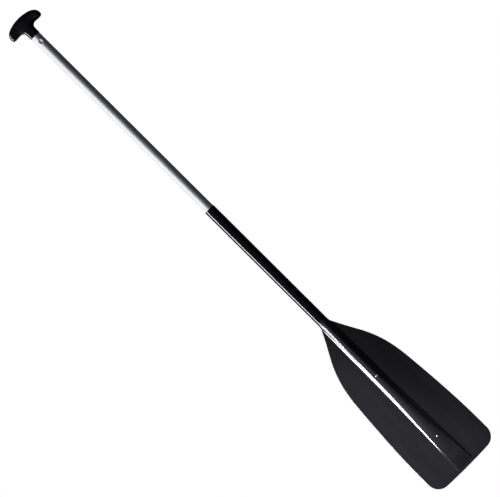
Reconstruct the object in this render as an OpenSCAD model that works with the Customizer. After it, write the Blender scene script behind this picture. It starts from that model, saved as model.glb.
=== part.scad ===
// T-grip canoe paddle, lying flat with one blade face up. Millimetres.
// +X runs from the grip to the tip of the blade, +Y across it, +Z up.
// The origin is under the middle of the paddle, on the ground that it lies on.
// Distances called "s" are measured along the shaft from the top of the grip.

/* [Overall] */
// Length from the top of the grip to the tip of the blade
paddle_length = 1524; // [1300:1:1700]
// Gap between parts that fit over or into each other
fit = 0.1; // [0.05:0.05:0.2]

/* [Grip] */
// Width of the T bar across the shaft
grip_width = 97.5; // [85:0.5:110]
// Depth of the T bar along the shaft, at its middle
grip_depth = 33.5; // [30:0.5:38]
// Thickness of the T bar from front to back
grip_thickness = 29; // [28.8:0.2:34]
// Top of the grip to the collar where the bare tube starts
grip_length = 58.4; // [55:0.2:70]
// Length of the spigot that plugs into the tube
spigot_length = 42; // [34:1:60]
// Bore that cores out the spigot
spigot_bore = 15; // [8:0.5:16]

/* [Shaft] */
// Outer diameter of the tube
tube_od = 26; // [25:0.5:27]
// Wall of the tube
tube_wall = 1.5; // [1.2:0.1:1.8]
// Collar to the middle of the dimples that stake the grip
dimple_offset = 20.2; // [15:0.2:26]
// Width of a dimple along the tube
dimple_width = 10; // [8:0.5:11]
// Depth of a dimple
dimple_depth = 2; // [1.2:0.1:2.2]

/* [Sleeve] */
// Length of the vinyl sleeve
sleeve_length = 381.5; // [250:0.5:420]
// Wall of the sleeve
sleeve_wall = 1.2; // [0.8:0.1:1.6]

/* [Blade] */
// Length from the end of the sleeve to the tip
blade_length = 494.5; // [470:0.5:520]
// Greatest width, near the tip
blade_width = 198; // [185:1:215]
// Thickness of the flats beside the rib
blade_thickness = 4; // [3:0.1:5]
// Radius of the two corners at the tip
corner_radius = 33; // [25:1:40]
// How far the middle of the tip edge stands out past its ends
tip_crown = 1.5; // [0:0.1:3]
// Wall of the neck around the tube
neck_wall = 1.2; // [1:0.1:2]
// Width of the foot of the rib, near the neck
rib_foot_width = 37; // [34:0.5:40]
// Width of the flat end of the rib, over the flattened tube
rib_end_width = 43.5; // [43:0.5:48]
// Height of the flat end of the rib above the middle plane
rib_end_height = 3.8; // [3.6:0.1:5]
// Flat end of the rib to the tip of the blade
rib_end_gap = 27; // [22:1:60]

/* [Rivets] */
// End of the sleeve to the first rivet
first_rivet = 185; // [150:1:220]
// Distance between the two rivets
rivet_pitch = 205.3; // [150:0.1:210]
// Diameter of the shank
rivet_shank = 4; // [3:0.1:4.8]
// Diameter of the heads
rivet_head = 6; // [6:0.1:9]
// Height of a domed head
rivet_dome = 1.4; // [1:0.1:2]

/* [Float plugs] */
// Length of each foam plug
plug_length = 60; // [20:1:120]

/* [Hidden] */
$fn = 96;

tube_r = tube_od / 2;
bore_r = tube_r - tube_wall;
neck_r = tube_r + fit + neck_wall;
axis_z = max(grip_thickness / 2, neck_r);

// A pressed or ribbed stretch starts this much inside the round one that it grows out of
step = 0.2;

// Stations along the shaft
neck_s = paddle_length - blade_length;
sleeve_s = neck_s - sleeve_length;
dimple_s = grip_length + dimple_offset;
flatten_s = neck_s + 30;
rib_start_s = neck_s + 10;
rib_end_s = paddle_length - rib_end_gap;
tube_end_s = rib_end_s - 12;

// The tube pressed flat keeps the length around its wall
flat_half_width = PI * (tube_r + bore_r) / 4 + tube_wall / 2;
flat_half_gap = 0.15;

// Moves a shape that lies along +X from x = 0 to station s of the paddle
module at(s) {
    translate([s - paddle_length / 2, 0, axis_z]) children();
}

// A rod along +X between two stations
module rod(s0, s1, r) {
    at(s0) rotate([0, 90, 0]) cylinder(r = r, h = s1 - s0);
}

// A closed skin through rings with equal numbers of points, each ring clockwise
// when seen from beyond the last one
module loft(rings) {
    n = len(rings[0]);
    last = len(rings) - 1;
    points = [for (ring = rings) each ring];
    sides = [
        for (i = [0:last - 1], j = [0:n - 1])
            let (k = (j + 1) % n)
            each [
                [i * n + j, i * n + k, (i + 1) * n + k],
                [i * n + j, (i + 1) * n + k, (i + 1) * n + j],
            ]
    ];
    first_cap = [for (j = [n - 1:-1:0]) j];
    last_cap = [for (j = [0:n - 1]) last * n + j];
    polyhedron(points, concat([first_cap], sides, [last_cap]));
}

// Point at angle t on an oval of half sizes a and b, squarer as the power rises
function oval(t, a, b, power = 2.3) =
    let (k = 2 / power)
    [a * sign(cos(t)) * pow(abs(cos(t)), k), b * sign(sin(t)) * pow(abs(sin(t)), k)];

// ---- T-grip ----

grip_sides = 32;
grip_rings = 36;
end_round = 0.29;

// Share of the full section left at v, where v runs from 0 in the middle to 1 at the end
function end_taper(v) =
    let (t = max(0, (v - 1 + end_round) / end_round))
    pow(1 - pow(t, 2.6), 1 / 2.6);

// Middle of the bar's section along the shaft: both ends droop towards the blade
function bar_centre(v) = grip_depth * (0.5 + 0.163 * pow(v, 2) + 0.105 * pow(v, 4));
function bar_half_depth(v) = grip_depth * (0.5 - 0.168 * pow(v, 2)) * end_taper(v);
function bar_half_height(v) =
    (grip_thickness / 2 - 1.2 * pow(sin(180 * min(v, 0.9)), 2)) * end_taper(v);

module grip_bar() {
    reach = 88;
    at(0) loft([
        for (i = [0:grip_rings])
            let (
                side = sin(reach * (2 * i / grip_rings - 1)) / sin(reach) * 0.999,
                v = abs(side)
            )
            [
                for (j = [0:grip_sides - 1])
                    let (p = oval(j * 360 / grip_sides, bar_half_depth(v), bar_half_height(v)))
                    [bar_centre(v) + p.x, side * grip_width / 2, p.y]
            ]
    ]);
}

// Web that flares from the round stem into the underside of the bar
module grip_flare() {
    wide = 25;
    top = grip_depth;
    fall = 16.5;
    stem_r = tube_r - 0.05;
    at(0) loft([
        for (s = [top - 12, top - 6, for (k = [0:8]) top + fall * (1 - cos(k * 11.25))])
            let (
                t = min(1, max(0, (top + fall - s) / fall)),
                half_width = wide - (wide - stem_r) * sqrt(1 - t * t),
                power = 2 + 0.3 * t
            )
            [
                for (j = [0:grip_sides - 1])
                    let (p = oval(-j * 360 / grip_sides, half_width, stem_r + 0.5 * t, power))
                    [s, p.x, p.y]
            ]
    ]);
}

module t_grip() {
    spigot_r = bore_r - fit;
    color("#161617") difference() {
        union() {
            grip_bar();
            grip_flare();
            rod(grip_depth / 2, grip_length, tube_r);
            rod(grip_length - 1, grip_length + spigot_length, spigot_r);
        }
        rod(grip_length + 4, grip_length + spigot_length + 1, spigot_bore / 2);
        dimple_balls(dimple_r + tube_wall + fit);
    }
}

// ---- Shaft ----

dimple_r = (dimple_width * dimple_width / 4 + dimple_depth * dimple_depth) / (2 * dimple_depth);

// Balls whose surfaces form the dimples on the front and the back of the tube
module dimple_balls(r) {
    for (side = [-1, 1])
        at(dimple_s) translate([0, 0, side * (tube_r - dimple_depth + dimple_r)]) sphere(r = r);
}

// Lower end of the tube, pressed flat step by step towards the tip
module flattened(round_r, half_width, half_height, s1) {
    hull($fn = 32) {
        rod(flatten_s - 5, flatten_s - 4, round_r, $fn = 32);
        for (side = [-1, 1])
            at(s1 - 1)
                translate([0, side * (half_width - half_height), 0])
                    rotate([0, 90, 0])
                        cylinder(r = half_height, h = 1, $fn = 16);
    }
}

module rivet_holes(r) {
    for (k = [0, 1])
        at(neck_s + first_rivet + k * rivet_pitch)
            translate([0, 0, -2 * tube_od])
                cylinder(r = r, h = 4 * tube_od, $fn = 32);
}

module shaft_tube() {
    wall_middle = (tube_r + bore_r) / 2;
    color("#c9ccd0") difference() {
        union() {
            difference() {
                union() {
                    rod(grip_length + fit, flatten_s, tube_r);
                    flattened(tube_r - step, flat_half_width, tube_wall + flat_half_gap, tube_end_s);
                }
                rod(grip_length - 1, flatten_s + 1, bore_r);
                flattened(bore_r + step, flat_half_width - tube_wall, flat_half_gap, tube_end_s + 2);
            }
            intersection() {
                dimple_balls(dimple_r + tube_wall);
                rod(grip_length + 2, grip_length + spigot_length, wall_middle);
            }
        }
        dimple_balls(dimple_r);
        rivet_holes(rivet_shank / 2 + fit / 2);
    }
}

module shaft_sleeve() {
    color("#101011") difference() {
        rod(sleeve_s, neck_s - fit, tube_r + fit / 2 + sleeve_wall);
        rod(sleeve_s - 1, neck_s + 1, tube_r + fit / 2);
    }
}

// ---- Blade ----

// Key points of one side: distance from the neck, half width, slope of the edge.
// The first lies inside the neck; the edge bends at the shoulder, then runs nearly straight.
edge_keys = [
    [4, neck_r - 3, 0],
    [15.5, 0.170 * blade_width / 2, 0.5],
    [80.5, 0.517 * blade_width / 2, 0.555],
    [135.5, 0.748 * blade_width / 2, 0.3],
    [225.5, 0.892 * blade_width / 2, 0.085],
    [blade_length - tip_crown - corner_radius - 23, blade_width / 2, 0],
];

// Smooth curve between two key points that keeps both slopes
function between(a, b, t) =
    let (d = b.x - a.x, u = 1 - t)
    [
        a.x + d * t,
        a.y * u * u * (1 + 2 * t) + b.y * t * t * (3 - 2 * t) + d * t * u * (a.z * u - b.z * t)
    ];

side_edge = [
    for (k = [0:len(edge_keys) - 2], t = [0:1 / 8:0.99])
        between(edge_keys[k], edge_keys[k + 1], t),
];
corner_centre = [blade_length - tip_crown - corner_radius, blade_width / 2 - corner_radius];
corner_edge = [
    for (a = [90:-10:0])
        corner_centre + corner_radius * [cos(a), sin(a)],
];
tip_edge = [
    for (y = [0.66, 0.33, 0])
        [blade_length - tip_crown * y * y, y * corner_centre.y],
];
half_edge = concat(side_edge, corner_edge, tip_edge);
edge = concat(
    half_edge,
    [for (i = [len(half_edge) - 2:-1:0]) [half_edge[i].x, -half_edge[i].y]]
);

// The outline moved inwards by d, square to the edge
function inset_edge(d) =
    let (n = len(edge))
    [
        for (i = [0:n - 1])
            let (
                along = edge[(i + 1) % n] - edge[(i + n - 1) % n],
                inward = [along.y, -along.x] / norm(along)
            )
            edge[i] + d * inward
    ];

// Flat plate with rounded edges
module blade_plate() {
    round = blade_thickness * 0.4;
    flat = blade_thickness / 2 - round;
    at(neck_s) loft([
        for (a = [-90, -45, 0, 0.01, 45, 90])
            let (side = a > 0 ? 1 : -1)
            [for (p = inset_edge(round * (1 - cos(a)))) [p.x, p.y, side * flat + round * sin(a)]]
    ]);
}

// Rib on both faces that follows the tube from round to flat
module rib() {
    hull($fn = 32) {
        rod(rib_start_s - 1, rib_start_s, neck_r - step, $fn = 64);
        rib_end_pad(rib_end_width / 2 - 2, rib_end_height);
        rib_end_pad(rib_end_width / 2, rib_end_height - 1.2);
    }
}

// End of the rib: a flat pad with rounded corners
module rib_end_pad(half_width, half_height) {
    corner = 7;
    for (side = [-1, 1])
        at(rib_end_s - corner - rib_end_width / 2 + half_width)
            translate([0, side * (half_width - corner), -half_height])
                cylinder(r = corner, h = 2 * half_height, $fn = 32);
}

// Sloping foot that blends the rib into the flats
module rib_foot() {
    foot = rib_foot_width / 2;
    hull() {
        foot_section(rib_start_s + 28, foot, 5);
        foot_section(rib_end_s - 14, rib_end_width / 2 + 1.5, 1);
    }
}

module foot_section(s, half_width, rise) {
    z = blade_thickness / 2;
    at(s) rotate([90, 0, 90]) linear_extrude(1) polygon([
        for (m = [[1, 1], [-1, 1], [-1, -1], [1, -1]])
            let (low = [m.x * half_width, m.y * (z - 0.3)],
                 high = [m.x * (half_width - rise), m.y * (z + rise)])
            each (m.x * m.y > 0 ? [low, high] : [high, low])
    ]);
}

// Seats that the rivet heads sit on, square to the blade
module rivet_seats() {
    for (k = [0, 1], side = [0, 1])
        at(neck_s + first_rivet + k * rivet_pitch)
            mirror([0, 0, side])
                translate([0, 0, seat_height(k)])
                    cylinder(r = rivet_head / 2 + 0.3, h = 10, $fn = 48);
}

// Height of a rivet's seat above the middle plane
function seat_height(k) =
    let (
        s = neck_s + first_rivet + k * rivet_pitch,
        t = (s - rib_start_s) / (rib_end_s - rib_end_width / 2 - rib_start_s)
    )
    neck_r + t * (rib_end_height - neck_r) - 0.5;

module blade() {
    color("#232326") difference() {
        union() {
            blade_plate();
            rod(neck_s, rib_start_s + 6, neck_r);
            rib();
            rib_foot();
        }
        rod(neck_s - 1, flatten_s, tube_r + fit);
        flattened(
            tube_r + fit - step,
            flat_half_width + fit,
            tube_wall + flat_half_gap + fit,
            tube_end_s + 1
        );
        rivet_holes(rivet_shank / 2 + fit / 2);
        rivet_seats();
    }
}

// ---- Rivets ----

module blade_rivets() {
    color("#d8dadd") for (k = [0, 1])
        at(neck_s + first_rivet + k * rivet_pitch) {
            reach = seat_height(k);
            translate([0, 0, -reach - 0.5])
                cylinder(r = rivet_shank / 2, h = 2 * reach + 1, $fn = 32);
            for (side = [0, 1])
                mirror([0, 0, side]) translate([0, 0, reach + fit / 2]) rivet_dome();
        }
}

// A low domed head that stands on z = 0
module rivet_dome() {
    ball_r = (rivet_head * rivet_head / 4 + rivet_dome * rivet_dome) / (2 * rivet_dome);
    intersection() {
        translate([0, 0, rivet_dome - ball_r]) sphere(r = ball_r);
        cylinder(r = rivet_head / 2 + 1, h = 2 * rivet_dome);
    }
}

// ---- Float plugs ----

module float_plug(s) {
    color("#e9e6dc") rod(s, s + plug_length, bore_r - fit);
}

module upper_float_plug() {
    float_plug(grip_length + spigot_length + 5);
}

module lower_float_plug() {
    float_plug(neck_s - plug_length);
}

t_grip();
shaft_tube();
shaft_sleeve();
blade();
blade_rivets();
upper_float_plug();
lower_float_plug();
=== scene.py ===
"""Looks of a T-grip canoe paddle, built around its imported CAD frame.

Metres, in the CAD frame: +X runs from the grip to the tip of the blade, +Y across the blade and +Z up.
Shapes are worked out in millimetres: s is the distance along the shaft from the top of the grip,
and y and z are measured from the shaft's axis.
"""
import math

import bmesh
import bpy
import numpy as np
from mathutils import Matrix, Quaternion, Vector

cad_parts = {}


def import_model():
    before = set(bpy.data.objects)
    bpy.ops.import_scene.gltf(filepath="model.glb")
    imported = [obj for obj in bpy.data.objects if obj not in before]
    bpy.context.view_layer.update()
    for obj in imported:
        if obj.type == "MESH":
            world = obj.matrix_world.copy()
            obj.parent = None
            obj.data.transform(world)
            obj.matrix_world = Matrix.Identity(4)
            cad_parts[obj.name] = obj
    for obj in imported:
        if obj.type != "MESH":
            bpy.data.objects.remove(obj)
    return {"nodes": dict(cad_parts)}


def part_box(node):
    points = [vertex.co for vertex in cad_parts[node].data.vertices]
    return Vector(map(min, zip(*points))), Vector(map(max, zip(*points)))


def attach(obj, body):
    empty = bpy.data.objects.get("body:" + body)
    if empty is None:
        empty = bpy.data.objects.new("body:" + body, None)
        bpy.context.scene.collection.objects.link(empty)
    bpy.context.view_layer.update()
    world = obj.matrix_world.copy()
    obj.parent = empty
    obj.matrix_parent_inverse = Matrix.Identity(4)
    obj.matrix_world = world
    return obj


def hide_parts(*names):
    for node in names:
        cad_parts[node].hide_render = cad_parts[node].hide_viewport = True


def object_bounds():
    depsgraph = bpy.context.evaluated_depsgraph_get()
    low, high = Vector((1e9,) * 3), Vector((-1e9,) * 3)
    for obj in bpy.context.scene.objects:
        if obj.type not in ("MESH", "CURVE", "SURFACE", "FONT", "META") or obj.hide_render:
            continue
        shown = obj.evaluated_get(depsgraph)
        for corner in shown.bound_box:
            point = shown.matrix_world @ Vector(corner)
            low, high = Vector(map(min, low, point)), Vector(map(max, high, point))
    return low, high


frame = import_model()
cad_low, cad_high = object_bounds()

MM = 0.001
WELD = 0.001 * MM  # points closer than this are merged

# ---- Places, read from the CAD frame ----

grip_low, grip_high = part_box("t_grip")
tube_low, tube_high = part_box("shaft_tube")
sleeve_low, sleeve_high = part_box("shaft_sleeve")
blade_low, blade_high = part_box("blade")
rivets_low, rivets_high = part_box("blade_rivets")

TOP_X = cad_low.x
AXIS_Z = (tube_low.z + tube_high.z) / 2


def station(x):
    """Distance in millimetres from the top of the grip."""
    return (x - TOP_X) / MM


TUBE_R = (tube_high.z - tube_low.z) / 2 / MM
TUBE_WALL = 1.5
SLEEVE_R = (sleeve_high.z - sleeve_low.z) / 2 / MM
NECK_R = (blade_high.z - blade_low.z) / 2 / MM
SLEEVE_S = station(sleeve_low.x)
NECK_S = station(blade_low.x)
TIP_S = station(blade_high.x)
TUBE_S = station(tube_low.x)
TUBE_END_S = station(tube_high.x)
GRIP_HALF_WIDTH = (grip_high.y - grip_low.y) / 2 / MM
GRIP_HALF_HEIGHT = (grip_high.z - grip_low.z) / 2 / MM
SPIGOT_END_S = station(grip_high.x)
BLADE_HALF_WIDTH = (blade_high.y - blade_low.y) / 2 / MM
RIVET_HEAD_R = (rivets_high.y - rivets_low.y) / 2 / MM
RIVET_S = (station(rivets_low.x) + RIVET_HEAD_R, station(rivets_high.x) - RIVET_HEAD_R)
DIMPLE_S = TUBE_S + 20.1
FLATTEN_S = NECK_S + 30


# ---- Mesh helpers ----

def to_frame(points):
    """Millimetres from the grip's top and the shaft's axis, to metres in the CAD frame."""
    out = np.asarray(points, float) * MM
    out[..., 0] += TOP_X
    out[..., 2] += AXIS_Z
    return out


def new_object(name, data):
    """A scene object from a mesh, a light or a camera."""
    obj = bpy.data.objects.new(name, data)
    bpy.context.scene.collection.objects.link(obj)
    return obj


def ring_faces(first, n, rings):
    """Quads between neighbouring rings of n vertices, whose first vertex has index first."""
    faces = []
    for i in range(rings - 1):
        a, b = first + i * n, first + (i + 1) * n
        faces += [(a + j, b + j, b + (j + 1) % n, a + (j + 1) % n) for j in range(n)]
    return faces


def swept(name, rings, loop=False, caps=(True, True), sharp=50):
    """A closed skin through rings of points. With loop, the last ring joins the first, as on a tube."""
    rings = np.asarray(rings, float)
    if loop:
        rings = np.concatenate([rings, rings[:1]])
    count, n = rings.shape[:2]
    faces = ring_faces(0, n, count)
    if caps[0] and not loop:
        faces.append(tuple(range(n)))
    if caps[1] and not loop:
        faces.append(tuple(range((count - 1) * n, count * n))[::-1])
    return finished_mesh(name, to_frame(rings).reshape(-1, 3), faces, sharp)


def finished_mesh(name, points, faces, sharp):
    """An object from points and faces, with doubles merged, normals outside and smooth shading."""
    mesh = bpy.data.meshes.new(name)
    mesh.from_pydata([tuple(p) for p in points], [], faces)
    bm = bmesh.new()
    bm.from_mesh(mesh)
    bmesh.ops.remove_doubles(bm, verts=bm.verts, dist=WELD)
    bmesh.ops.dissolve_degenerate(bm, edges=bm.edges, dist=WELD)
    bmesh.ops.recalc_face_normals(bm, faces=bm.faces)
    for face in bm.faces:
        face.smooth = True
    bm.to_mesh(mesh)
    bm.free()
    mesh.set_sharp_from_angle(angle=math.radians(sharp))
    return new_object(name, mesh)


def apply_modifiers(obj):
    """Leaves the object as the plain mesh that its modifiers make."""
    evaluated = obj.evaluated_get(bpy.context.evaluated_depsgraph_get())
    mesh = bpy.data.meshes.new_from_object(evaluated)
    old = obj.data
    obj.modifiers.clear()
    obj.data = mesh
    bpy.data.meshes.remove(old)


def smoothstep(a, b, x):
    """0 up to a, 1 from b on, and a smooth step between them."""
    t = np.clip((x - a) / (b - a), 0, 1)
    return t * t * (3 - 2 * t)


def oval(angles, a, b, power):
    """Points at these angles on an oval of half sizes a and b, squarer as the power rises."""
    c, s = np.cos(angles), np.sin(angles)
    k = 2 / np.asarray(power, float)
    return a * np.sign(c) * np.abs(c) ** k, b * np.sign(s) * np.abs(s) ** k


# ---- Blade ----

# Key points of one side of the outline: distance from the neck, half width, slope of the edge
EDGE_KEYS = (
    (6.0, NECK_R, 0.0),
    (15.5, 0.170 * BLADE_HALF_WIDTH, 0.5),
    (80.5, 0.517 * BLADE_HALF_WIDTH, 0.555),
    (135.5, 0.748 * BLADE_HALF_WIDTH, 0.3),
    (225.5, 0.892 * BLADE_HALF_WIDTH, 0.085),
    (TIP_S - NECK_S - 57.5, BLADE_HALF_WIDTH, 0.0),
)
CORNER_R = 30.5
TIP_CROWN = 1.5
HALF_PLATE = 2.0  # half the thickness of the flats
EDGE_R = 0.9
NECK_EDGE_R = 3.5  # added to EDGE_R at the neck, where the blade is thick
RIB_RAMP_S = NECK_S + 454
RIB_END_S = NECK_S + 488
BORE_GAP = 0.1  # between the tube and the blade moulded over it
BORE_FLAT = 1.75  # half height of the bore where the tube is pressed flat
# Distances in from an edge that has to look round
EDGE_STEPS = np.array([0.0, 0.03, 0.12, 0.3, 0.55, 0.95, 2.4])


def blade_half_width(s):
    """Half width of the blade at s, before its tip edge is bent to a crown."""
    d = np.asarray(s, float) - NECK_S
    width = np.full(d.shape, NECK_R)
    for (x0, y0, m0), (x1, y1, m1) in zip(EDGE_KEYS, EDGE_KEYS[1:]):
        t = (d - x0) / (x1 - x0)
        u = 1 - t
        curve = y0 * u * u * (1 + 2 * t) + y1 * t * t * (3 - 2 * t) + (x1 - x0) * t * u * (m0 * u - m1 * t)
        width = np.where((d >= x0) & (d <= x1), curve, width)
    width = np.where(d > EDGE_KEYS[-1][0], BLADE_HALF_WIDTH, width)
    corner = np.clip(s - (TIP_S - CORNER_R), 0, CORNER_R)
    return width - CORNER_R + np.sqrt(CORNER_R ** 2 - corner ** 2)


def flank(depth, rise, shoulder_r, foot_r, slope):
    """Height and run of a flank: a foot fillet, a straight face at this slope and a round shoulder."""
    lift = 1 - np.cos(slope)
    shrink = np.minimum(1, rise / ((shoulder_r + foot_r) * lift))
    foot, shoulder = foot_r * shrink, shoulder_r * shrink
    face = (rise - (foot + shoulder) * lift) / np.tan(slope)
    run = (foot + shoulder) * np.sin(slope) + face
    from_foot = np.minimum(depth, foot * np.sin(slope))
    from_top = np.clip(run - depth, 0, shoulder * np.sin(slope))
    low = foot - np.sqrt(foot ** 2 - from_foot ** 2) + np.maximum(depth - from_foot, 0) * np.tan(slope)
    high = rise - shoulder + np.sqrt(shoulder ** 2 - from_top ** 2)
    return np.where(depth > run - shoulder * np.sin(slope), high, low), run


# Key sections of the rib: distance from the neck, rise above the flats, half width at the foot,
# radius of the shoulders and extra crown in the middle
RIB_KEYS = np.array([
    (0, 12.4, 16.5, 14.4, 0.0),
    (103, 10.8, 18.0, 14.2, 0.2),
    (190, 9.9, 18.4, 12.0, 0.8),
    (276, 8.6, 19.6, 7.5, 1.6),
    (345, 6.6, 21.6, 5.0, 1.5),
    (400, 4.4, 23.0, 3.5, 0.9),
    (440, 2.0, 23.6, 3.0, 0.2),
    (454, 1.7, 23.6, 3.0, 0.1),
    (488, 0.0, 23.6, 3.0, 0.0),
]).T
FLANK_SLOPE = math.radians(43)
RIB_FOOT_R = 3.5


def rib_height(s, y):
    """Height of the rib above the flats. It stands on the neck and runs out on a ramp before the tip."""
    rise, foot, shoulder, crown = (np.interp(s - NECK_S, RIB_KEYS[0], row) for row in RIB_KEYS[1:])
    inside = np.maximum(foot - np.abs(y), 0)
    body = np.maximum(rise - crown, 1e-6)
    run = flank(inside, body, shoulder, RIB_FOOT_R, FLANK_SLOPE)[1]
    height = flank(inside * np.maximum(run / foot, 1), body, shoulder, RIB_FOOT_R, FLANK_SLOPE)[0]
    return height + crown * (1 - np.clip(y / foot, -1, 1) ** 2) ** 2


def blade_height(s, y):
    """Height of the blade's skin above its middle plane."""
    corner_s, corner_y = TIP_S - CORNER_R, BLADE_HALF_WIDTH - CORNER_R
    edge = np.minimum(blade_half_width(s) - np.abs(y), TIP_S - s)
    in_corner = (s > corner_s) & (np.abs(y) > corner_y)
    edge = np.where(in_corner, CORNER_R - np.hypot(s - corner_s, np.abs(y) - corner_y), edge)
    round_r = EDGE_R + NECK_EDGE_R * (1 - smoothstep(NECK_S + 10, NECK_S + 60, s))
    rounding = np.sqrt(1 - (1 - np.clip(edge / round_r, 0, 1)) ** 2)
    plate = HALF_PLATE - EDGE_R + EDGE_R * rounding + rib_height(s, y) * rounding
    neck = np.sqrt(np.maximum(NECK_R ** 2 - y ** 2, 0))
    return neck + (plate - neck) * smoothstep(NECK_S + 5, NECK_S + 24, s)


def section_places(s):
    """Places across one half of the blade at station s, from the edge to the middle."""
    width = float(blade_half_width(s))
    rib_out = min(25.0, width - 3.4)
    flat = np.linspace(width - EDGE_STEPS[-1], rib_out, 16)[1:-1]
    rib = np.linspace(rib_out, 0, 27)
    return np.concatenate([width - EDGE_STEPS, flat, rib])


def blade_stations():
    """Places of the blade's rings: close together where the neck, the ramp or the corners turn."""
    neck = np.linspace(NECK_S + 0.8, NECK_S + 60, 60)
    body = np.linspace(NECK_S + 60, RIB_RAMP_S, 90)[1:]
    ramp = np.linspace(RIB_RAMP_S, RIB_END_S, 12)[1:]
    corner = TIP_S - CORNER_R * (1 - np.sin(np.linspace(0, math.pi / 2, 24)))
    corner = corner[(corner > RIB_END_S + 0.5) & (corner < TIP_S - EDGE_STEPS[-1] - 0.4)]
    return np.concatenate([neck, body, ramp, corner, TIP_S - EDGE_STEPS[::-1]])


def stadium_height(y, half_width, half_height):
    """Height at y of a bar with round sides: a circle where the two half sizes are equal."""
    reach = np.maximum(np.abs(y) - (half_width - half_height), 0)
    return np.sqrt(np.maximum(half_height ** 2 - reach ** 2, 0))


def pressed_size(s, radius, flat_half_height):
    """Half width and half height at s of the tube, pressed flat without changing its length around."""
    t = np.clip((s - FLATTEN_S) / (TUBE_END_S - FLATTEN_S), 0, 1)
    half_height = radius * (1 - t) + flat_half_height * t
    return half_height + (radius - half_height) * math.pi / 2, half_height


def flat_ring(s, shares, half_width, height):
    """A closed ring at s: over the top from +y to -y, and back underneath. shares fall from 1 to 0."""
    y = np.concatenate([shares, -shares[-2::-1]]) * half_width
    top = np.stack([np.full(y.shape, s), y, height(y)], axis=1)
    return np.concatenate([top, top[-2:0:-1] * (1, 1, -1)])


def pressed_ring(s, shares, radius, flat_half_height):
    """A ring at s that is round on the shaft and pressed flat towards the tube's end."""
    width, height = pressed_size(s, radius, flat_half_height)
    return flat_ring(s, shares, width, lambda y: stadium_height(y, width, height))


def blade_ring(s, shares):
    """The blade's outer skin at s. Its places are even steps at the neck and the section's own further on."""
    places = section_places(s)
    own = float(smoothstep(NECK_S + 1, NECK_S + 14, s))
    mixed = shares * (1 - own) + places / places[0] * own
    return flat_ring(s, mixed, places[0], lambda y: blade_height(np.full(y.shape, s), y))


def blade():
    """The blade: its bore from the blind end to the mouth, and then its outer skin to the tip."""
    shares = np.sin(np.linspace(math.pi / 2, 0, len(section_places(NECK_S + 1))))
    bore_r = TUBE_R + BORE_GAP
    bore_s = (TUBE_END_S + 1, *np.linspace(TUBE_END_S - 1, FLATTEN_S, 14), NECK_S + 0.5)
    rings = [pressed_ring(s, shares, bore_r, BORE_FLAT) for s in bore_s]
    mouth = ((0.02, bore_r + 0.3), (0.0, NECK_R - 0.6), (0.2, NECK_R - 0.15))
    rings += [pressed_ring(NECK_S + ds, shares, r, BORE_FLAT) for ds, r in mouth]
    rings += [blade_ring(s, shares) for s in blade_stations()]
    rings = np.array(rings)
    bend = TIP_CROWN * (rings[..., 1] / (BLADE_HALF_WIDTH - CORNER_R)) ** 2
    rings[..., 0] -= bend * smoothstep(TIP_S - 150, TIP_S, rings[..., 0])
    return swept("blade_moulding", rings, caps=(True, False))


# ---- Shaft ----

SHAFT_SIDES = 96
PRESSED_HALF_HEIGHT = TUBE_WALL + 0.15
TUBE_EDGE_R = 0.3
DIMPLE_WIDTH = 11.0
DIMPLE_DEPTH = 2.4
DIMPLE_BALL_R = (DIMPLE_WIDTH ** 2 / 4 + DIMPLE_DEPTH ** 2) / (2 * DIMPLE_DEPTH)
DIMPLE_SOFTNESS = 1.0  # how far the rim of the dimple is rounded
OUTSIDE_DIMPLE = -2.0  # stands for the depth where the ball misses the tube
SLEEVE_GAP = 0.05
# The sleeve's cut end: distance from the end, and the wall's thickness there
SLEEVE_LEAD = ((0.0, 0.35), (0.05, 0.75), (0.3, 1.0), (0.9, 1.12), (3.0, 1.17), (8.0, 1.2))
SLEEVE_WALL = SLEEVE_LEAD[-1][1]


def dimpled(ring):
    """The ring with the punched dimples on the front and the back, whose rims are softly rounded."""
    out = ring.copy()
    radius = np.hypot(ring[:, 1], ring[:, 2])
    up = np.abs(ring[:, 2]) / radius
    centre = TUBE_R - DIMPLE_DEPTH + DIMPLE_BALL_R
    inside = DIMPLE_BALL_R ** 2 - (ring[:, 0] - DIMPLE_S) ** 2 - centre ** 2 * (1 - up ** 2)
    ball = centre * up - np.sqrt(np.maximum(inside, 0))
    depth = np.where(inside > 0, TUBE_R - ball, OUTSIDE_DIMPLE)
    soft = DIMPLE_SOFTNESS * np.log1p(np.exp(depth / DIMPLE_SOFTNESS))
    soft -= DIMPLE_SOFTNESS * math.log1p(math.exp(OUTSIDE_DIMPLE / DIMPLE_SOFTNESS))
    scale = 1 - np.maximum(soft, 0) / radius
    out[:, 1] *= scale
    out[:, 2] *= scale
    return out


def tube_skin(stations, inwards):
    """Rings of the tube's skin, moved inwards from its outer face."""
    shares = np.sin(np.linspace(math.pi / 2, 0, SHAFT_SIDES // 4 + 1))
    rings = []
    for s in stations:
        ring = pressed_ring(s, shares, TUBE_R, PRESSED_HALF_HEIGHT)
        if abs(s - DIMPLE_S) < DIMPLE_WIDTH:
            ring = dimpled(ring)
        middle = ring * (1, 0, 0)
        width, height = pressed_size(s, TUBE_R, PRESSED_HALF_HEIGHT)
        shrink = np.array([1, 1 - inwards / width, 1 - inwards / height])
        rings.append(middle + (ring - middle) * shrink)
    return rings


def shaft_tube():
    """The drawn tube: dimpled at the top, and pressed flat where the blade is moulded over it."""
    dimple = DIMPLE_S + np.linspace(-8, 8, 41)
    plain = np.linspace(DIMPLE_S + 8, FLATTEN_S, 24)[1:]
    pressed = np.linspace(FLATTEN_S, TUBE_END_S, 18)[1:]
    outer = np.concatenate([[TUBE_S + TUBE_EDGE_R, TUBE_S + 4], dimple, plain, pressed])
    inner = outer[::-1].copy()
    inner[-1] = TUBE_S
    rings = tube_skin(outer, 0) + tube_skin(inner, TUBE_WALL)
    rings += tube_skin([TUBE_S], TUBE_EDGE_R)
    return swept("shaft_tube_drawn", rings, loop=True)


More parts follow.
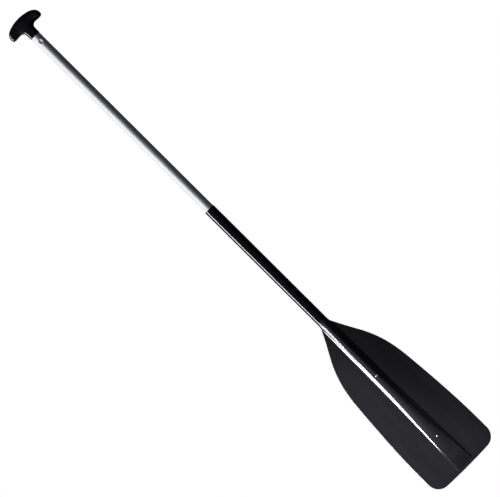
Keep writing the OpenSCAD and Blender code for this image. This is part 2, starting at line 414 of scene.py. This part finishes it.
def round_ring(s, r):
    around = np.linspace(0, 2 * math.pi, SHAFT_SIDES, endpoint=False)
    return np.stack([np.full(SHAFT_SIDES, s), r * np.cos(around), r * np.sin(around)], axis=1)


def shaft_sleeve():
    """The vinyl sleeve: tight on the tube, its cut ends a little rounded and drawn in."""
    inner_r, end_s = TUBE_R + SLEEVE_GAP, NECK_S - 0.1
    wall = SLEEVE_R - inner_r
    start = [(SLEEVE_S + d, inner_r + wall * lead / SLEEVE_WALL) for d, lead in SLEEVE_LEAD]
    end = [(end_s - d, inner_r + wall * lead / SLEEVE_WALL) for d, lead in reversed(SLEEVE_LEAD)]
    middle_s = np.linspace(SLEEVE_S + 8, end_s - 8, 60)[1:-1]
    rng = np.random.default_rng(11)
    waves = np.cumsum(rng.normal(0, 0.008, len(middle_s)))
    waves -= np.linspace(waves[0], waves[-1], len(waves))
    middle = [(s, SLEEVE_R - 0.02 + min(w, 0.02)) for s, w in zip(middle_s, waves)]
    inside = [(s, inner_r) for s in np.linspace(end_s, SLEEVE_S, 12)]
    rings = [round_ring(s, r) for s, r in start + middle + end + inside]
    return swept("shaft_sleeve_vinyl", rings, loop=True)


# ---- T-grip ----

GRIP_DEPTH = 33.5
GRIP_SIDES = 36
COLLAR_S = TUBE_S - 0.1
SPIGOT_R = TUBE_R - TUBE_WALL - 0.1
SPIGOT_BORE_R = 7.5
GROOVE_R = 8.8  # the dimples are staked into this groove
BAR_POWER = 2.3  # squareness of the bar's section
BAR_NARROWING = 0.168  # share of the depth that the bar's half depth loses towards its ends
BAR_SWEEP = (0.163, 0.105)  # shares of the depth that the bar's ends droop by, with v ** 2 and v ** 4
BAR_THINNING = 1.2
END_START, END_LENGTH = 0.71, 0.29  # where the rounding of the bar's ends starts, and its length
END_POWER = 2.6
# The opening in the bar's cage that the stem grows from: its half width, and half its quads each way
PATCH_HALF_WIDTH = 22.0
PATCH_AROUND = 4
PATCH_ALONG = 5
LAST_RING_ANGLE = math.radians(84)
LAST_RING_V = 0.995
GRIP_SHARP = 60
STEM_R = TUBE_R + 1.0
BORE_END_S = COLLAR_S + 4
# Rings of the stem, its collar, the spigot and the spigot's bore: s, half width, half height
STEM_RINGS = (
    (34.6, 20.4, 13.9),
    (36.2, 17.4, 13.8),
    (38.6, 15.2, 13.8),
    (42.0, 14.3, 13.8),
    (48.0, 14.0, 13.8),
    (54.0, 14.0, 13.9),
    (COLLAR_S - 0.8, STEM_R, STEM_R),
    (COLLAR_S - 0.2, STEM_R, STEM_R),
    (COLLAR_S, STEM_R - 0.2, STEM_R - 0.2),
    (COLLAR_S, SPIGOT_R + 0.3, SPIGOT_R + 0.3),
    (COLLAR_S + 0.2, SPIGOT_R, SPIGOT_R),
    (COLLAR_S + 2, SPIGOT_R, SPIGOT_R),
    (DIMPLE_S - 10, SPIGOT_R, SPIGOT_R),
    (DIMPLE_S - 8, GROOVE_R, GROOVE_R),
    (DIMPLE_S + 8, GROOVE_R, GROOVE_R),
    (DIMPLE_S + 10, SPIGOT_R, SPIGOT_R),
    (SPIGOT_END_S - 1.5, SPIGOT_R, SPIGOT_R),
    (SPIGOT_END_S, SPIGOT_R - 1.2, SPIGOT_R - 1.2),
    (SPIGOT_END_S, SPIGOT_BORE_R + 0.8, SPIGOT_BORE_R + 0.8),
    (SPIGOT_END_S - 1, SPIGOT_BORE_R, SPIGOT_BORE_R),
    (BORE_END_S + 1, SPIGOT_BORE_R, SPIGOT_BORE_R),
    (BORE_END_S, SPIGOT_BORE_R - 0.8, SPIGOT_BORE_R - 0.8),
    (BORE_END_S, 3.0, 3.0),
)


def end_taper(v):
    """Share of the bar's full section left at v, where v runs from 0 in the middle to 1 at the end."""
    t = np.clip((v - END_START) / END_LENGTH, 0, 1)
    return (1 - t ** END_POWER) ** (1 / END_POWER)


def bar_ring(v):
    """Ring of the T bar at v, from -1 to 1. It starts on the side of the shaft and turns towards +z."""
    a = np.abs(v)
    angles = np.linspace(0, 2 * math.pi, GRIP_SIDES, endpoint=False)
    near_stem = max(0.0, 1 - (a / 0.5) ** 2)
    power = np.where(np.cos(angles) > 0, BAR_POWER + 2.7 * near_stem, BAR_POWER)
    half_depth = GRIP_DEPTH * (0.5 - BAR_NARROWING * a ** 2) * end_taper(a)
    thinning = BAR_THINNING * math.sin(math.pi * min(a, 0.9)) ** 2
    half_height = (GRIP_HALF_HEIGHT - thinning) * end_taper(a)
    x, z = oval(angles, half_depth, half_height, power)
    centre = GRIP_DEPTH * (0.5 + BAR_SWEEP[0] * a ** 2 + BAR_SWEEP[1] * a ** 4)
    return np.stack([centre + x, np.full(GRIP_SIDES, v * GRIP_HALF_WIDTH), z], axis=1)


def stem_ring(s, half_width, half_height):
    """Ring of the stem at s, starting at +y and turning towards +z."""
    angles = np.linspace(0, 2 * math.pi, GRIP_SIDES, endpoint=False)
    power = 2.8 if half_width > TUBE_R else 2.0
    y, z = oval(angles, half_width, half_height, power)
    return np.stack([np.full(GRIP_SIDES, s), y, z], axis=1)


def bar_cage():
    """Points and faces of the T bar's control cage, with a patch left open, and its middle ring's index."""
    patch_v = PATCH_HALF_WIDTH / GRIP_HALF_WIDTH
    inner = np.linspace(-patch_v, patch_v, 2 * PATCH_ALONG + 1)
    outer_angle = np.linspace(math.asin(patch_v), LAST_RING_ANGLE, 13)[1:]
    outer = np.sin(outer_angle) / math.sin(LAST_RING_ANGLE) * LAST_RING_V
    v_all = np.concatenate([-outer[::-1], inner, outer])
    n, count = GRIP_SIDES, len(v_all)
    points = [p for v in v_all for p in bar_ring(v)]
    middle = count // 2
    opened = {
        (i, j % n)
        for i in range(middle - PATCH_ALONG, middle + PATCH_ALONG)
        for j in range(-PATCH_AROUND, PATCH_AROUND)
    }
    faces = [
        (i * n + j, i * n + (j + 1) % n, (i + 1) * n + (j + 1) % n, (i + 1) * n + j)
        for i in range(count - 1)
        for j in range(n)
        if (i, j) not in opened
    ]
    for ring, side in ((0, -1), (count - 1, 1)):
        near_x, far_x = points[ring * n][0], points[ring * n + n // 2][0]
        points.append((near_x * 0.5 + far_x * 0.5, side * GRIP_HALF_WIDTH, 0))
        pole = len(points) - 1
        faces += [(pole, ring * n + j, ring * n + (j + 1) % n) for j in range(n)]
    return points, faces, middle


def patch_rim(middle):
    """Indices of the points round the open patch, in the order of a stem ring's points."""
    across, along = PATCH_AROUND, PATCH_ALONG
    rim = [(middle + along, j) for j in range(0, across)]
    rim += [(middle + i, across) for i in range(along, -along, -1)]
    rim += [(middle - along, j) for j in range(across, -across, -1)]
    rim += [(middle + i, -across) for i in range(-along, along)]
    rim += [(middle + along, j) for j in range(-across, 0)]
    return [i * GRIP_SIDES + j % GRIP_SIDES for i, j in rim]


def grip_cage():
    """Points and faces of the whole control cage: the bar, and the stem and spigot grown from its patch."""
    points, faces, middle = bar_cage()
    n = GRIP_SIDES
    previous = patch_rim(middle)
    for s, half_width, half_height in STEM_RINGS:
        first = len(points)
        points += list(stem_ring(s, half_width, half_height))
        ring = list(range(first, first + n))
        faces += [(previous[k], previous[(k + 1) % n], ring[(k + 1) % n], ring[k]) for k in range(n)]
        previous = ring
    faces.append(tuple(previous))
    return points, faces


def t_grip():
    """The grip with its spigot, smoothed from the cage."""
    points, faces = grip_cage()
    obj = finished_mesh("t_grip_moulding", to_frame(points), faces, GRIP_SHARP)
    smooth = obj.modifiers.new("smooth", "SUBSURF")
    smooth.levels = smooth.render_levels = 2
    apply_modifiers(obj)
    obj.data.set_sharp_from_angle(angle=math.radians(GRIP_SHARP))
    return obj


# ---- Rivets ----

RIVET_SIDES = 48
RIVET_SEAT = 0.35  # how far the head is set into the rib's top
RIVET_DOME = 1.4
RIVET_SHANK_R = 2.0


def rib_top(s):
    """Height of the rib's top above the shaft's axis."""
    return HALF_PLATE + float(rib_height(np.array(s), np.array(0.0)))


def rivet(name, s):
    """A rivet through the rib and the tube, with a low dome on each face."""
    seat = rib_top(s) - RIVET_SEAT
    head_r = RIVET_HEAD_R
    dome_rise = RIVET_DOME - RIVET_SEAT
    profile = [
        (head_r * math.sin(a), seat + (RIVET_SEAT + dome_rise * math.cos(a)))
        for a in np.linspace(0.02, math.pi / 2, 12)
    ]
    profile += [(head_r, seat + 0.1), (head_r - 0.15, seat), (RIVET_SHANK_R, seat)]
    profile += [(r, -z) for r, z in reversed(profile)]
    angles = np.linspace(0, 2 * math.pi, RIVET_SIDES, endpoint=False)
    across, along = np.sin(angles), np.cos(angles)
    rings = [
        np.stack([s + r * along, r * across, np.full(RIVET_SIDES, z)], axis=1)
        for r, z in profile
    ]
    return swept(name, rings, sharp=45)


# ---- Materials ----

class Shader:
    """A material with a Principled shader, and short calls that add and link its procedural detail."""

    def __init__(self, name, **settings):
        self.material = bpy.data.materials.new(name)
        self.material.use_nodes = True
        self.tree = self.material.node_tree
        self.principled = self.tree.nodes["Principled BSDF"]
        for key, value in settings.items():
            self.principled.inputs[key.replace("_", " ")].default_value = value
        self.coordinates = self.node("ShaderNodeTexCoord").outputs["Object"]

    def node(self, kind, **attributes):
        node = self.tree.nodes.new(kind)
        for key, value in attributes.items():
            setattr(node, key, value)
        return node

    def link(self, source, target):
        self.tree.links.new(source, target)

    def stretched(self, scale):
        """The object's coordinates, scaled by three factors."""
        mapping = self.node("ShaderNodeMapping")
        mapping.inputs["Scale"].default_value = scale
        self.link(self.coordinates, mapping.inputs["Vector"])
        return mapping.outputs["Vector"]

    def noise(self, scale, detail=3.0, stretch=(1, 1, 1)):
        noise = self.node("ShaderNodeTexNoise")
        noise.inputs["Scale"].default_value = scale
        noise.inputs["Detail"].default_value = detail
        noise.inputs["Roughness"].default_value = 0.55
        self.link(self.stretched(stretch), noise.inputs["Vector"])
        return noise.outputs["Fac"]

    def spread(self, source, low, high, from_low=0.3, from_high=0.7):
        """source, from its own range to low..high."""
        spread = self.node("ShaderNodeMapRange")
        spread.inputs["From Min"].default_value = from_low
        spread.inputs["From Max"].default_value = from_high
        spread.inputs["To Min"].default_value = low
        spread.inputs["To Max"].default_value = high
        self.link(source, spread.inputs["Value"])
        return spread.outputs["Result"]

    def combine(self, operation, a, b):
        """The sum or product of a and b, each a number or a socket."""
        math_node = self.node("ShaderNodeMath", operation=operation)
        for socket, value in zip(math_node.inputs, (a, b)):
            if isinstance(value, (int, float)):
                socket.default_value = value
            else:
                self.link(value, socket)
        return math_node.outputs["Value"]

    def colour(self, factor, dark, light):
        """The base colour, from dark where factor is 0 to light where it is 1."""
        mix = self.node("ShaderNodeMix", data_type="RGBA")
        mix.inputs["A"].default_value = (*dark, 1)
        mix.inputs["B"].default_value = (*light, 1)
        self.link(factor, mix.inputs["Factor"])
        self.link(mix.outputs["Result"], self.principled.inputs["Base Color"])

    def roughness(self, source):
        self.link(source, self.principled.inputs["Roughness"])

    def bump(self, height, distance, strength):
        """Adds relief, distance metres high where height is 1, on top of the relief already there."""
        bump = self.node("ShaderNodeBump")
        bump.inputs["Strength"].default_value = strength
        bump.inputs["Distance"].default_value = distance
        self.link(height, bump.inputs["Height"])
        target = self.principled.inputs["Normal"]
        if target.is_linked:
            self.link(target.links[0].from_socket, bump.inputs["Normal"])
        self.link(bump.outputs["Normal"], target)

    def scratches(self, scale, stretch, share):
        """1 on a few thin lines and 0 elsewhere. share is how much of the surface they take."""
        lines = self.noise(scale, detail=2.0, stretch=stretch)
        return self.spread(lines, 0, 1, 0.68 - share, 0.72 - share)


def anodised_aluminium():
    m = Shader("anodised_aluminium", Metallic=1.0)
    clouds = m.noise(9, detail=4)
    draw_lines = m.noise(60, detail=4, stretch=(0.02, 12, 12))
    m.colour(m.spread(clouds, 0, 1), (0.68, 0.69, 0.71), (0.76, 0.77, 0.79))
    m.roughness(m.combine("ADD", m.spread(draw_lines, 0.43, 0.49), m.spread(clouds, -0.02, 0.03)))
    m.bump(draw_lines, 0.00003, 0.5)
    m.bump(m.scratches(150, (0.3, 2.0, 2.0), 0.02), 0.00002, 0.4)
    return m.material


def vinyl():
    m = Shader("black_vinyl", Specular_IOR_Level=0.33)
    soft = m.noise(60, detail=2)
    scuffs = m.scratches(90, (0.25, 2.5, 2.5), 0.03)
    m.colour(m.spread(soft, 0, 1), (0.0020, 0.0019, 0.0028), (0.0030, 0.0029, 0.0042))
    m.roughness(m.combine("ADD", m.spread(soft, 0.10, 0.14), m.combine("MULTIPLY", scuffs, 0.08)))
    m.bump(soft, 0.00003, 0.3)
    m.bump(m.noise(900, detail=1), 0.00001, 0.1)
    return m.material


def blade_plastic():
    m = Shader("black_polypropylene", Specular_IOR_Level=0.5)
    flow = m.noise(12, detail=4, stretch=(0.5, 3.5, 1.0))
    grain = m.noise(1500, detail=2)
    scuffs = m.scratches(50, (0.2, 2.0, 1.0), 0.02)
    m.colour(m.spread(flow, 0, 1), (0.0040, 0.0040, 0.0052), (0.0160, 0.0157, 0.0182))
    wear = m.combine("MULTIPLY", scuffs, 0.05)
    m.roughness(m.combine("ADD", m.spread(flow, 0.19, 0.24), wear))
    m.bump(grain, 0.00001, 0.1)
    m.bump(scuffs, 0.00001, 0.15)
    return m.material


def grip_plastic():
    m = Shader("black_grip_plastic", Specular_IOR_Level=0.30)
    soft = m.noise(35, detail=3)
    grain = m.noise(1800, detail=2)
    m.colour(m.spread(soft, 0, 1), (0.0026, 0.0025, 0.0034), (0.0044, 0.0043, 0.0056))
    m.roughness(m.spread(soft, 0.18, 0.24))
    m.bump(grain, 0.00003, 0.25)
    return m.material


def rivet_aluminium():
    m = Shader("rivet_aluminium", Metallic=1.0)
    soft = m.noise(500, detail=3)
    m.colour(m.spread(soft, 0, 1), (0.80, 0.81, 0.82), (0.88, 0.89, 0.90))
    m.roughness(m.spread(soft, 0.25, 0.36))
    m.bump(soft, 0.00004, 0.3)
    return m.material


def closed_cell_foam():
    m = Shader("closed_cell_foam", Roughness=0.85)
    cells = m.node("ShaderNodeTexVoronoi")
    cells.inputs["Scale"].default_value = 1100
    m.link(m.coordinates, cells.inputs["Vector"])
    m.colour(m.spread(cells.outputs["Distance"], 0, 1, 0, 0.6), (0.62, 0.60, 0.53), (0.82, 0.80, 0.73))
    m.bump(cells.outputs["Distance"], 0.0003, 0.6)
    return m.material


# ---- Assembly ----

def place(piece, material, node):
    """Gives a piece its material, rides it on the one body and hides the CAD nodes it stands for."""
    piece.data.materials.clear()
    piece.data.materials.append(material)
    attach(piece, "root")
    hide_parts(node)


blade_piece = blade()
tube_piece = shaft_tube()
sleeve_piece = shaft_sleeve()
grip_piece = t_grip()
place(blade_piece, blade_plastic(), "blade")
place(tube_piece, anodised_aluminium(), "shaft_tube")
place(sleeve_piece, vinyl(), "shaft_sleeve")
place(grip_piece, grip_plastic(), "t_grip")

rivet_metal = rivet_aluminium()
rivet_pieces = [rivet(f"blade_rivet_{number}", rivet_s) for number, rivet_s in enumerate(RIVET_S, 1)]
for rivet_piece in rivet_pieces:
    place(rivet_piece, rivet_metal, "blade_rivets")

foam = closed_cell_foam()
for plug in ("upper_float_plug", "lower_float_plug"):
    for material_slot in frame["nodes"][plug].material_slots:
        material_slot.material = foam


# ---- Stage, light and camera ----

FLOOR_HALF = 8.0
FLOOR_GAP = 0.0005
WORLD_STRENGTH = 0.03
COOL = (0.94, 0.93, 1.14)
PALE_COOL = (0.96, 0.95, 1.10)


def floor_material():
    """Glows an even white, and takes no light or gloss."""
    material = bpy.data.materials.new("pale_floor")
    material.use_nodes = True
    shader = material.node_tree.nodes["Principled BSDF"]
    shader.inputs["Base Color"].default_value = (0, 0, 0, 1)
    shader.inputs["Roughness"].default_value = 1.0
    shader.inputs["Specular IOR Level"].default_value = 0.0
    shader.inputs["Emission Color"].default_value = (1, 1, 1, 1)
    shader.inputs["Emission Strength"].default_value = 1.0
    return material


def floor():
    """A plain white floor just under the paddle, which lights nothing and shows in no gloss."""
    half, z = FLOOR_HALF, cad_low.z - FLOOR_GAP
    corners = [(-half, -half, z), (half, -half, z), (half, half, z), (-half, half, z)]
    mesh = bpy.data.meshes.new("floor")
    mesh.from_pydata(corners, [], [(0, 1, 2, 3)])
    obj = new_object("floor", mesh)
    mesh.materials.append(floor_material())
    obj.visible_glossy = False
    obj.visible_diffuse = False


def lit_group(name, pieces):
    """A collection of the pieces that a light reaches."""
    group = bpy.data.collections.new(name)
    for piece in pieces:
        group.objects.link(piece)
    return group


def softbox(name, centre, direction, width, height, radiance, turn=0, colour=(1, 1, 1), group=None):
    """A rectangular light that the camera doesn't see. It stands at centre and shines against direction,
    and has this radiance. With group, it reaches only the group's pieces."""
    data = bpy.data.lights.new(name, "AREA")
    data.shape = "RECTANGLE"
    data.size, data.size_y = width, height
    data.energy = radiance * math.pi * width * height
    data.color = colour
    light = new_object(name, data)
    light.location = centre
    light.rotation_mode = "QUATERNION"
    facing = Vector(direction).to_track_quat("Z", "Y")
    light.rotation_quaternion = Quaternion(direction, math.radians(turn)) @ facing
    light.visible_camera = False
    if group:
        light.light_linking.receiver_collection = group


def world():
    """A dim, even surround that shows white behind the floor."""
    surroundings = bpy.data.worlds.new("studio")
    bpy.context.scene.world = surroundings
    surroundings.use_nodes = True
    nodes, links = surroundings.node_tree.nodes, surroundings.node_tree.links
    background = nodes["Background"]
    background.inputs["Color"].default_value = (1, 1, 1, 1)
    level = nodes.new("ShaderNodeMapRange")
    level.inputs["To Min"].default_value = WORLD_STRENGTH
    level.inputs["To Max"].default_value = 1.0
    links.new(nodes.new("ShaderNodeLightPath").outputs["Is Camera Ray"], level.inputs["Value"])
    links.new(level.outputs["Result"], background.inputs["Strength"])


PICTURE_WIDTH = 500  # pixels
PADDLE_LENGTH = 634.5  # pixels, along the paddle
PIXEL = (cad_high.x - cad_low.x) / PADDLE_LENGTH  # metres to a pixel
AIM_RIGHT, AIM_UP = 7.07, -6.06  # pixels from the paddle's middle to the picture's middle
TILT = math.radians(44.84)
LENS = 200.0
SENSOR = 36.0


def camera():
    """Looks straight down, turned so that the paddle lies from the upper left to the lower right."""
    data = bpy.data.cameras.new("camera")
    data.lens, data.sensor_width = LENS, SENSOR
    obj = new_object("camera", data)
    right = Vector((math.cos(TILT), math.sin(TILT), 0))
    up = Vector((-math.sin(TILT), math.cos(TILT), 0))
    aim = (cad_low + cad_high) / 2 + right * AIM_RIGHT * PIXEL + up * AIM_UP * PIXEL
    obj.location = (aim.x, aim.y, AXIS_Z + PICTURE_WIDTH * PIXEL * LENS / SENSOR)
    obj.rotation_euler = (0, 0, TILT)
    data.clip_end = 50
    bpy.context.scene.camera = obj


floor()
# The black gloss needs strips so bright that they would bleach the bare tube, so it has its own lights
black_pieces = lit_group("black_pieces", [blade_piece, sleeve_piece, grip_piece, *rivet_pieces])
bare_metal = lit_group("bare_metal", [tube_piece])
softbox("key_strip", (-0.4, -3.0, 0.28), (0, -1, 0), 6.0, 0.48, 54, group=black_pieces)
softbox("blade_strip", (1.1, -2.98, 0.28), (0, -1, 0), 1.1, 0.48, 36, group=black_pieces)
softbox("metal_softbox", (-0.4, -1.82, 1.23), (0, -0.83, 0.56), 6.0, 2.96, 1.35, group=bare_metal)
softbox("metal_bounce", (-0.4, -1.51, -0.0002), (0, 0, -1), 6.0, 3.0, 1.1, group=bare_metal)
softbox("bounce_card", (0, -1.51, 0.0), (0, 0, -1), 4.0, 3.0, 0.05)
softbox("overhead_fill", (-0.3, 0, 2.0), (0, 0, 1), 3.0, 1.2, 0.11, colour=COOL)
softbox("blade_fill", (0.64, -0.13, 0.6), (0, 0, 1), 0.50, 0.34, 0.40, turn=20, colour=COOL)
softbox("crown_fill", (1.0, -0.85, 2.0), (0, -0.35, 1), 0.9, 0.9, 0.9, colour=PALE_COOL)
softbox("side_fill", (0.90, 1.0, 0.2), (0, 1, 0), 0.60, 0.4, 0.18)
world()
camera()
bpy.context.scene.view_settings.view_transform = "Standard"
